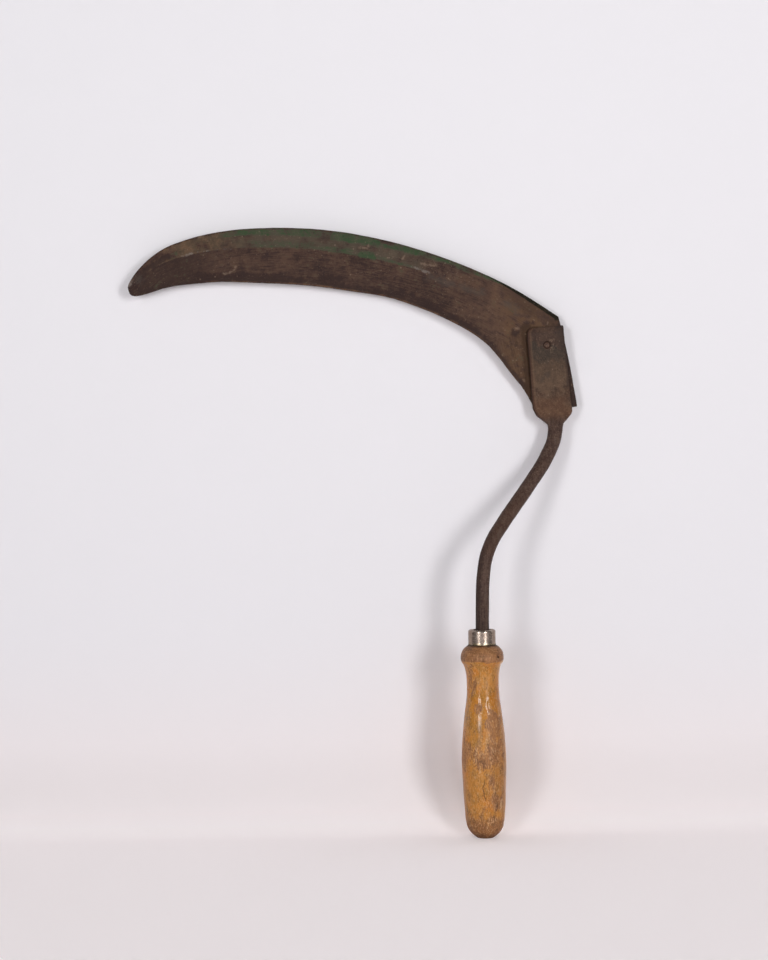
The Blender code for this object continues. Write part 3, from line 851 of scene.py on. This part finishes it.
def blade_rust(steel, t):
    """Brown and purple rust, tan towards the heel and on the tip's band, dark along the edge."""
    x, z = steel.x, steel.z
    ground = t.across.step(BAND_SHARE - 0.01, BAND_SHARE + 0.01)
    heel = x.step(-0.01, 0.024)
    middle = x.between(-0.135, -0.105, -0.03, 0.012)
    low = heel * z.step(0.368, 0.352)
    tone = sway((t.broad, 0.5), (t.mottle, 0.9), (t.grain, 0.5), (t.streaks, 1.0), (t.grit, 0.3))
    tone = (tone + heel * 0.16 - low * 0.18 - middle * 0.11 + 0.03).step(-0.34, 0.33)
    tan = sway((t.cloud, 2.0), (t.mottle, 1.2), (t.grain, 0.8), (t.streaks, 0.8))
    tan = (tan + heel * 0.34 - middle * 0.08).step(-0.05, 1.05)
    tip = (x + sway((t.cloud, 0.05))).step(-0.245, -0.228) * (1 - ground) * x.step(-0.16, -0.19)
    tip_tan = (sway((t.mottle, 2.2), (t.grain, 1.4), (t.cloud, 1.4)) + 0.42).step(0.1, 0.9)
    edge = (t.from_edge + sway((t.mottle, 0.012), (t.grain, 0.006))).step(0.0066, 0.002)
    rim = (t.from_edge + sway((t.grain, 0.0012))).step(0.0021, 0.0011) * x.step(-0.2, -0.19)
    faded = (1 - ground) * x.between(-0.198, -0.172, -0.045, -0.028)
    point = x.step(-0.175, -0.212) * (0.3 + ground * 0.7)
    back = (t.from_back + sway((t.mottle, 0.004))).step(0.0018, 0.0008) * t.cloud.step(0.4, 0.5)
    return steel.layer(
        steel.blend(tone, PURPLE_RUST, BROWN_RUST),
        (tan * (0.3 + heel * 0.28), TAN_RUST), (point * 0.68, TIP_SCALE),
        (faded * (t.cloud.step(0.36, 0.54) * 0.5 + 0.25), DUSTY_RUST),
        (tip * t.cloud.step(0.36, 0.52) * 0.55, OLIVE_RUST), (tip * tip_tan * 0.7, TAN_RUST),
        (edge * z.step(0.34, 0.365) * 0.65, PURPLE_RUST),
        (rim * (0.3 + t.mottle.step(0.4, 0.6) * 0.45), TAN_RUST),
        (back * 0.7, PURPLE_RUST), ((1 - t.front) * 0.35, BROWN_RUST))


def blade_stains(steel, t, colour):
    """Dark and grey stains, one dark one painted shade beside the plate, the heel chamfer darkened
    nearly black, a strip of painted shade along the back at the heel, and rust caught round the plate,
    deepened there into painted contact shade.
    """
    x, z = steel.x, steel.z
    fray = sway((t.mottle, 0.006), (t.grain, 0.004))
    dark = (steel.read("dark") + fray).step(0.0018, -0.001)
    grey = (steel.read("grey") + fray * 2.0).step(0.003, -0.0016)
    # darkens the heel chamfer nearly black
    chamfer = x.step(-0.015, 0.05) * 0.004 - t.from_back + sway((t.grain, 0.0012))
    chamfer = chamfer.step(0.0002, 0.0009) * z.step(0.3715, 0.3735)
    # rust round the plate's side and top, deepened into painted contact shade
    beside = (steel.read("plate_gap") + sway((t.grain, 0.002))).step(0.0056, 0.0028)
    above = (steel.read("plate_top") + sway((t.grain, 0.0016))).step(0.0018, 0.0004)
    warm = x.step(0.014, 0.03) * t.mottle.step(0.36, 0.56)
    # painted shade along the back at the heel
    shaded = (t.from_back + sway((t.mottle, 0.01))).step(0.016, 0.01) * x.step(0.017, 0.029)
    return steel.layer(
        colour, (warm * 0.4, WARM_RUST), (shaded * 0.36, PURPLE_RUST),
        (dark * t.front * 0.8, PURPLE_RUST), (grey * t.front * 0.45, GREY_STEEL),
        (chamfer * t.front * 0.97, BLACK_OLIVE), ((beside | above) * t.front * 0.82, RUST_AND_SHADE_BY_PLATE))


def blade_paint(steel, t, colour):
    """Green paint, thin and greyish where it is nearly worn away; gives the colour and the cover."""
    cover = steel.read("paint") + sway((t.mottle, 1.7), (t.grain, 1.3), (t.streaks, 1.6), (t.grit, 0.6))
    rusted = (steel.read("dark") + sway((t.mottle, 0.006))).step(0.0016, -0.0004)
    chipped = (t.from_back + sway((t.grain, 0.003))).step(0.0018, 0.0008) * t.streaks.step(0.4, 0.54)
    cover = cover + rusted * -1.0 + chipped * -0.6
    thin = cover.step(0.22, 0.6) * t.front
    thick = cover.step(0.48, 1.0) * t.front
    green = steel.blend(t.cloud.step(0.4, 0.6), GREEN_PAINT, OLIVE_PAINT)
    return steel.layer(colour, (thin * 0.6, FADED_PAINT), (thick * 0.86, green)), thick


def blade_marks(steel, t, colour):
    """Pale rust marks, specks, scratches and bare steel, which on the grind line's crest and at the
    nose is also a painted highlight; gives the colour and how much shines.
    """
    fray = sway((t.grain, 0.0036), (t.grit, 0.003))
    pale = (steel.read("pale") + fray).step(0.0008, -0.0008) * t.front
    # bare steel, partly a painted highlight on the crest and at the nose
    bare = steel.read("bare") + sway((t.mottle, 0.004), (t.grain, 0.004))
    bare = bare.step(0.001, -0.0006) * t.front
    worn = steel.read("worn").step(0.002, -0.002) * t.front
    specks = steel.cells(0.0044).step(0.19, 0.06) * (t.mottle + worn * 0.1).step(0.47, 0.6)
    fine = steel.cells(0.0023).step(0.24, 0.1) * (t.cloud + worn * 0.12).step(0.46, 0.62)
    scratched = t.scratches.step(0.56, 0.72) * t.cloud.step(0.4, 0.6)
    rubbed = worn * t.mottle.step(0.44, 0.6) * steel.x.step(-0.1, -0.07)
    flecks = (t.grit + worn * 0.05).step(0.6, 0.72)
    pits = steel.cells(0.0031, steel.turned_round()).step(0.22, 0.1) * t.cloud.step(0.56, 0.44)
    colour = steel.layer(
        colour, (rubbed * 0.12, RUBBED_RUST), (scratched * 0.18, PALE_RUST),
        (flecks * 0.12, PALE_RUST), (fine * 0.26, PALE_RUST),
        (specks * 0.38, PALE_RUST), (pale * 0.42, PALE_RUST), (bare * 0.32, BARE_STEEL),
        (pits * 0.45, BLACK_SCALE))
    return colour, bare


def blade_finish():
    """Rust, stains, paint and marks, one over the other."""
    steel = Recipe("rusted_blade_with_paint", IOR=1.45, Specular_IOR_Level=0.2)
    t = blade_tones(steel)
    colour = blade_stains(steel, t, blade_rust(steel, t))
    colour, paint = blade_paint(steel, t, colour)
    colour, shine = blade_marks(steel, t, colour)
    roughness = 0.66 + sway((t.grit, 0.5), (t.mottle, 0.3)) - paint * 0.14 - shine * 0.3
    height = t.mottle * 0.35 + t.grain * 0.25 + t.grit * 0.25 + t.scratches * 0.1 + paint * 0.08
    return steel.finish(colour, roughness, height, 0.00032, Metallic=shine * 0.7)


def plate_rust(steel, mottle, grain, grit, broad):
    """The flattened top: brown-grey above, lighter at mid height, orange-brown at its foot, with a
    painted highlight along its left bevel and rust deepened into painted shade at its left edge.
    """
    z = steel.z + sway((broad, 0.05), (mottle, 0.03))
    left = steel.read("from_left") + sway((grain, 0.0014))
    right = steel.read("from_right") + sway((grain, 0.0014), (mottle, 0.002))
    tone = sway((mottle, 1.3), (broad, 0.6), (grain, 0.9), (grit, 0.6)).step(-0.28, 0.28)
    foot = z.step(0.322, 0.308)
    rivet = centre_of("rivet_upper")
    aside, above = steel.x - rivet.x - 0.0003, steel.z - rivet.z - 0.0002
    near_rivet = aside * aside + above * above
    ring = near_rivet.step(0.0034 ** 2, 0.0028 ** 2)
    halo = near_rivet.step(0.008 ** 2, 0.004 ** 2) * aside.step(0.0, 0.003) * grain.step(0.52, 0.6)
    return steel.layer(
        steel.blend(tone, *PLATE_TONES),
        (z.step(0.347, 0.353) * 0.5, (0.052, 0.029, 0.023)),
        (z.between(0.336, 0.341, 0.349, 0.353) * 0.5, (0.042, 0.034, 0.026)),
        (z.between(0.316, 0.327, 0.336, 0.341) * 0.45, (0.108, 0.067, 0.042)),
        (foot * 0.45, (0.14, 0.066, 0.036)), (foot * mottle.step(0.52, 0.62) * 0.5, TAN_RUST),
        (right.step(0.009, 0.003) * z.step(0.344, 0.35) * 0.6, (0.026, 0.018, 0.016)),
        # a painted highlight along the plate's left bevel, then at the very edge rust darkened further
        # as painted shade
        (left.between(0.0014, 0.0024, 0.0026, 0.0038) * 0.45, TAN_RUST),
        (left.step(0.0024, 0.0012) * 0.8, RED_RUST), (left.step(0.0012, 0.0004) * 0.5, BLACK_SCALE),
        (right.step(0.0022, 0.0008) * z.step(0.312, 0.325) * 0.5, PURPLE_RUST),
        (halo * 0.3, PALE_RUST), (ring * 0.85, RIVET_GAP))


def rod_rust(steel, mottle, grain, grit, drawn):
    """The round rod: brown rust with streaks drawn out along it, black beside the ferrule."""
    tone = sway((mottle, 0.5), (grain, 0.7), (grit, 0.7), (drawn, 1.1)).step(-0.36, 0.36)
    near_ferrule = steel.z.step(0.178, 0.152) * drawn.step(0.56, 0.42)
    left = steel.read("from_left") + sway((grain, 0.001), (drawn, 0.0016))
    left = left.step(0.0042, 0.0028) * steel.z.step(0.232, 0.19)
    middle = steel.z.between(0.196, 0.206, 0.236, 0.25)
    return steel.layer(
        steel.blend(tone, *ROD_TONES),
        (middle * 0.35, (0.082, 0.042, 0.028)), (drawn.step(0.54, 0.66) * 0.35, GREY_STEEL),
        (left * 0.5, (0.026, 0.015, 0.0125)), (near_ferrule * 0.35, BLACK_SCALE))


def shank_finish():
    """Plate and rod, with the pale specks and dark pits that they share."""
    steel = Recipe("forged_shank_steel", IOR=1.45, Specular_IOR_Level=0.2)
    plate = steel.read("plate")
    broad = steel.noise(0.018, 3)
    mottle = steel.noise(0.0052, 5, rough=0.62)
    grain = steel.noise(0.002, 4, rough=0.65)
    grit = steel.noise(0.001, 3)
    drawn = steel.noise((0.0015, 0.0015, 0.022), 4)
    colour = steel.blend(plate, rod_rust(steel, mottle, grain, grit, drawn),
                         plate_rust(steel, mottle, grain, grit, broad))
    specks = steel.cells(0.0034).step(0.2, 0.08) * mottle.step(0.48, 0.6)
    flecks = grit.step(0.6, 0.72)
    pits = steel.cells(0.0029, steel.turned_round()).step(0.22, 0.1) * broad.step(0.58, 0.46)
    colour = steel.layer(colour, (specks * 0.36, PALE_RUST), (flecks * 0.18, PALE_RUST),
                         (pits * 0.4, BLACK_SCALE))
    roughness = 0.62 + sway((grit, 0.5), (mottle, 0.3))
    height = mottle * 0.35 + grain * 0.25 + grit * 0.25 + drawn * 0.25
    return steel.finish(colour, roughness, height, 0.0003)


def rivet_finish():
    steel = Recipe("worn_rivet_steel", IOR=1.45, Specular_IOR_Level=0.25)
    mottle = steel.noise(0.0014, 4)
    grit = steel.noise(0.0005, 3)
    to_rim = steel.read("off_axis") + sway((grit, 0.0006)) - UPPER_HEAD[0]
    colour = steel.layer(
        steel.blend(mottle.step(0.4, 0.6), *RIVET_TONES),
        (grit.step(0.55, 0.7) * 0.25, PALE_RUST), (to_rim.step(-0.0005, -0.0001) * 0.85, RIVET_GAP))
    return steel.finish(colour, 0.5 + sway((grit, 0.4)), mottle * 0.6 + grit * 0.4, 0.00012,
                        Metallic=grit.step(0.5, 0.7) * 0.3)


def ferrule_finish():
    """Worn nickel: its left and right sides darkened as painted shade, brassy and dirty where it meets
    the wood, the dark seam there also painted contact shade.
    """
    plating = Recipe("worn_nickel_plate", Metallic=1.0)
    above = plating.z - FERRULE_LOW.z
    mottle = plating.noise(0.0034, 5, rough=0.62)
    grit = plating.noise(0.0009, 3)
    scratches = plating.noise((0.005, 0.005, 0.00025), 3)
    rubbed = plating.noise((0.001, 0.001, 0.007), 4)
    tone = sway((mottle, 0.9), (rubbed, 0.7), (grit, 0.2)).step(-0.32, 0.32)
    brass = (above + sway((mottle, 0.006))).step(0.0016, 0.0006)
    # dark seam at the foot: dirt and painted contact shade
    seam = (above + sway((mottle, 0.003))).step(0.0006, 0.0001)
    tarnish = sway((mottle, 1.4), (grit, 0.6)).step(0.08, 0.24)
    # painted shade: the sides far from the middle in X are darkened to dim their reflections
    painted_dark_flanks = (plating.x * plating.x).step(0.00469 ** 2, 0.00866 ** 2)
    colour = plating.layer(
        plating.blend(tone, *NICKEL_TONES),
        (tarnish * 0.25, (0.18, 0.14, 0.105)), (painted_dark_flanks * 0.72, (0.19, 0.125, 0.08)),
        (brass * 0.6, (0.26, 0.2, 0.085)), (seam * 0.8, (0.035, 0.026, 0.015)))
    roughness = 0.255 + sway((mottle, 0.12), (scratches, 0.25), (grit, 0.1)) + brass * 0.12
    height = mottle * 0.5 + rubbed * 0.3 + scratches * 0.1 + grit * 0.1
    return plating.finish(colour, roughness, height, 0.00005)


GOLDEN = (0.55, 0.226, 0.034)
AMBER = (0.52, 0.17, 0.008)
OLIVE_GOLD = (0.42, 0.19, 0.036)
BARE_WOOD = (0.43, 0.188, 0.06)
BROWN_WOOD = (0.25, 0.104, 0.036)
DARK_WOOD = (0.075, 0.03, 0.012)
PALE_WOOD = (0.62, 0.38, 0.19)
BEAD_TONES = ((0.185, 0.074, 0.026), (0.37, 0.168, 0.066))
# the collar's dark is dirt and painted contact shade under the ferrule
COLLAR_DIRT_AND_SHADE, CRACK_DIRT = (0.03, 0.016, 0.01), (0.03, 0.013, 0.007)


def wood_finish():
    """Ash with worn varnish: golden where it is left, brown and fibrous where it is gone; its right
    half browned as painted shade, its butt and the wood under the ferrule darkened partly as painted
    shade, and one of its pale scuffs a painted highlight.
    """
    wood = Recipe("worn_varnished_wood", IOR=1.48, Specular_IOR_Level=0.44)
    z = wood.z
    broad = wood.noise((0.009, 0.009, 0.018), 4, rough=0.6)
    blotch = wood.noise((0.004, 0.004, 0.0075), 5, rough=0.66)
    fibre = wood.noise((0.0011, 0.0011, 0.014), 4, rough=0.62)
    dashes = wood.noise((0.0008, 0.0008, 0.0026), 3, rough=0.6)
    grit = wood.noise((0.0008, 0.0008, 0.0013), 3)
    turning = wood.noise((0.012, 0.012, 0.0007), 4, rough=0.65)
    bead = (z + sway((broad, 0.004), (blotch, 0.003))).step(0.1259, 0.1266)
    above_butt = (z + sway((blotch, 0.03), (dashes, 0.014))).step(0.01, 0.018)
    cover = sway((broad, 1.3), (blotch, 1.8), (dashes, 1.4), (fibre, 0.8), (grit, 0.7))
    varnish = (wood.read("varnish") + cover).step(0.34, 0.66) * (1 - bead) * above_butt
    bare = wood.blend(sway((broad, 0.8), (fibre, 1.2), (blotch, 0.8), (grit, 0.5)).step(-0.28, 0.28),
                      BROWN_WOOD, BARE_WOOD)
    gloss = wood.layer(wood.blend(blotch.step(0.4, 0.62), OLIVE_GOLD, GOLDEN),
                       (broad.step(0.5, 0.62) * 0.65, AMBER))
    turned_lines = sway((turning, 0.9), (blotch, 1.2), (dashes, 0.4)).step(-0.26, 0.26)
    bead_wood = wood.blend(turned_lines, *BEAD_TONES)
    dark = (dashes.step(0.44, 0.34) * (0.38 - varnish * 0.16)) | (fibre.step(0.42, 0.33) * 0.22)
    dark = dark | (grit.step(0.44, 0.34) * 0.3)
    # pale scuffs, one of them a painted highlight
    scuffed_and_highlit = (wood.read("pale") + sway((blotch, 1.2), (dashes, 1.8), (grit, 1.0))).step(0.4, 0.75)
    pale = (dashes.step(0.55, 0.65) * (0.6 - varnish * 0.12)) | (scuffed_and_highlit * 0.75)
    pale = pale | (grit.step(0.57, 0.68) * (0.25 + z.step(0.055, 0.03) * 0.2))
    grime = sway((blotch, 1.5), (grit, 1.0)).step(-0.12, -0.3)
    # darker at the very bottom: end grain and painted shade of the underside
    butt = (z + sway((blotch, 0.01))).step(0.006, 0.001)
    worn_end = (z + sway((blotch, 0.03))).step(0.02, 0.01)
    # dirt and painted contact shade on the wood just under the ferrule
    collar = (z + sway((blotch, 0.004))).step(SHOULDER - 0.0012, SHOULDER - 0.0002)
    # painted shade: the right half of the grip is browned
    painted_shade_right_half = wood.x.step(0.0, 0.01) * z.between(0.012, 0.034, 0.1, 0.122)
    colour = wood.layer(
        bare, (varnish * 0.88, gloss), (bead * 0.92, bead_wood), (worn_end * 0.6, BROWN_WOOD),
        (painted_shade_right_half * 0.34, BROWN_WOOD), (pale * (1 - bead * 0.5), PALE_WOOD), (dark, DARK_WOOD),
        (grime * 0.38, DARK_WOOD), (butt * 0.55, DARK_WOOD), (collar * 0.75, COLLAR_DIRT_AND_SHADE),
        (wood.read("crack") * 0.8, CRACK_DIRT))
    shine = 0.22 + z.between(0.072, 0.09, 0.102, 0.11) * 0.21
    roughness = 0.56 - varnish * shine + sway((grit, 0.2), (blotch, 0.3))
    height = (fibre * 0.3 + dashes * 0.25) * (1 - varnish * 0.6) + blotch * 0.07 + turning * bead * 0.2
    return wood.finish(colour, roughness, height, 0.00026)


# Stage, lights and camera -----------------------

WALL_GAP, WALL_YAW = 0.0625, math.radians(-0.9)     # behind the handle's axis
COVE_RADIUS = 0.062
WALL_COLOUR, FLOOR_COLOUR = (0.835, 0.82, 0.852), (0.865, 0.805, 0.815)
FLOOR_GLOW = 0.265               # given off by the floor, for the camera only
STAGE_CENTRE = Vector((0.0, 0.0, 0.2))
CAMERA_PLACE = (-0.06785, -1.258, 0.25634)
CAMERA_ROLL = math.radians(1.07)
LENS, FILM = 66, 36
SKY_LIGHT = 0.125
ROOM_COLOUR = (0.8, 0.77, 0.79, 1)         # the pale room that only the camera sees
# Azimuth, elevation and distance from STAGE_CENTRE, size, power, and the point that it faces.
LIGHTS = {
    "left_softbox": (-28.3, 9.5, 2.0, (0.42, 0.9), 14.1, (0.0, 0.0, 1.7)),
    "right_softbox": (26, 9.5, 2.0, (0.42, 0.9), 19.8, (-0.25, 0.0, 1.7)),
    "front_fill": (-2, 4, 2.6, (0.9, 0.7), 9.0, STAGE_CENTRE),
    "rear_fill": (165, -14, 2.2, (0.9, 0.9), 28.0, STAGE_CENTRE)}


def make_backdrop():
    """A floor that sweeps up into a wall behind the sickle."""
    wide, deep, tall = 2.4, 2.2, 1.6
    cove = [(WALL_GAP - COVE_RADIUS * (1 - math.sin(a)), COVE_RADIUS * (1 - math.cos(a)))
            for a in np.linspace(0, math.pi / 2, 17)]
    profile = [(-deep, 0.0), *cove, (WALL_GAP, tall)]
    points = [(side * wide / 2, y, z) for y, z in profile for side in (-1, 1)]
    faces = [(k, k + 1, k + 3, k + 2) for k in range(0, len(points) - 2, 2)]
    mesh = bpy.data.meshes.new("backdrop")
    mesh.from_pydata(points, [], faces)
    mesh.shade_smooth()
    mesh.materials.append(backdrop_finish())
    made = place("backdrop", mesh)
    made.rotation_euler = (0, 0, WALL_YAW)
    made.visible_shadow = False                          # lets the light behind reach the sickle


def choose(tree, share, first, second, output):
    """Shows the first shader where the share is 0 and the second where it is 1."""
    either = tree.nodes.new("ShaderNodeMixShader")
    for k, source in enumerate((share, first, second)):
        tree.links.new(source, either.inputs[k])
    tree.links.new(either.outputs[0], tree.nodes[output].inputs["Surface"])


def backdrop_finish():
    """Matt off-white paper that is clear from behind, so that it hides nothing in a back view."""
    paper = Recipe("off_white_backdrop", Roughness=1.0, Specular_IOR_Level=0.0,
                   Emission_Color=(1, 0.95, 0.95, 1))
    seen = paper.field("Is Camera Ray", "ShaderNodeLightPath")
    low = (1 + paper.z * (-1 / COVE_RADIUS)) | 0.0
    paper.join(paper.surface, {
        "Base Color": paper.blend(paper.z.step(0.0, 0.16), FLOOR_COLOUR, WALL_COLOUR),
        "Emission Strength": low * low * low * seen * FLOOR_GLOW})
    side = paper.field("Backfacing", "ShaderNodeNewGeometry")
    clear = paper.field(0, "ShaderNodeBsdfTransparent")
    choose(paper.tree, side.socket, paper.surface.outputs[0], clear.socket, "Material Output")
    return paper.material


def softbox(name, azimuth, elevation, distance, size, power, aim):
    """A rectangular light, turned towards its aim."""
    turn, rise = math.radians(azimuth), math.radians(elevation)
    away = Vector((math.sin(turn) * math.cos(rise), -math.cos(turn) * math.cos(rise), math.sin(rise)))
    lamp = bpy.data.lights.new(name, "AREA")
    lamp.shape = "RECTANGLE"
    lamp.size, lamp.size_y = size
    lamp.energy = power
    made = place(name, lamp)
    made.location = STAGE_CENTRE + away * distance
    made.rotation_euler = (made.location - Vector(aim)).to_track_quat("Z", "Y").to_euler()
    return made


def light_the_stage():
    """Two soft key lights and a fill in front, and a light behind, below the floor's level."""
    made = {name: softbox(name, *settings) for name, settings in LIGHTS.items()}
    made["front_fill"].visible_glossy = False
    world = bpy.data.worlds.new("studio")
    world.use_nodes = True
    tree = world.node_tree
    sky, room = tree.nodes["Background"], tree.nodes.new("ShaderNodeBackground")
    sky.inputs["Color"].default_value = (1, 1, 1, 1)
    sky.inputs["Strength"].default_value = SKY_LIGHT
    room.inputs["Color"].default_value = ROOM_COLOUR
    seen = tree.nodes.new("ShaderNodeLightPath").outputs["Is Camera Ray"]
    choose(tree, seen, sky.outputs[0], room.outputs[0], "World Output")
    bpy.context.scene.world = world


def make_camera():
    lens = bpy.data.cameras.new("camera")
    lens.lens = LENS
    lens.sensor_fit = "VERTICAL"
    lens.sensor_height = FILM
    made = place("camera", lens)
    made.location = CAMERA_PLACE
    made.rotation_euler = (math.pi / 2, CAMERA_ROLL, 0)
    bpy.context.scene.camera = made


# Assembly ---------------------------------------

def build():
    blade, shank, handle = make_blade(), make_shank(), make_handle()
    for name, piece in (("blade", blade), ("shank", shank)):
        carve(piece, [rivet_hole(f"{name}_upper_hole", "rivet_upper", UPPER_SEAT),
                      rivet_hole(f"{name}_lower_hole", "rivet_lower", LOWER_SEAT)])
    bore, _ = shank_rings(TENON_TOP + 0.003, 0.004, BORE_GAP)
    carve(handle, [skin("tang_bore", bore)])
    upper, lower = make_rivets()
    ferrule = make_ferrule()
    forged = shank_finish()
    finish_piece(blade, "blade", blade_finish())
    finish_piece(shank, "shank", forged)
    finish_piece(upper, "rivet_upper", rivet_finish())
    finish_piece(lower, "rivet_lower", forged)
    finish_piece(ferrule, "ferrule", ferrule_finish())
    finish_piece(handle, "handle", wood_finish())


build()
make_backdrop()
light_the_stage()
make_camera()
bpy.context.scene.view_settings.view_transform = "Standard"
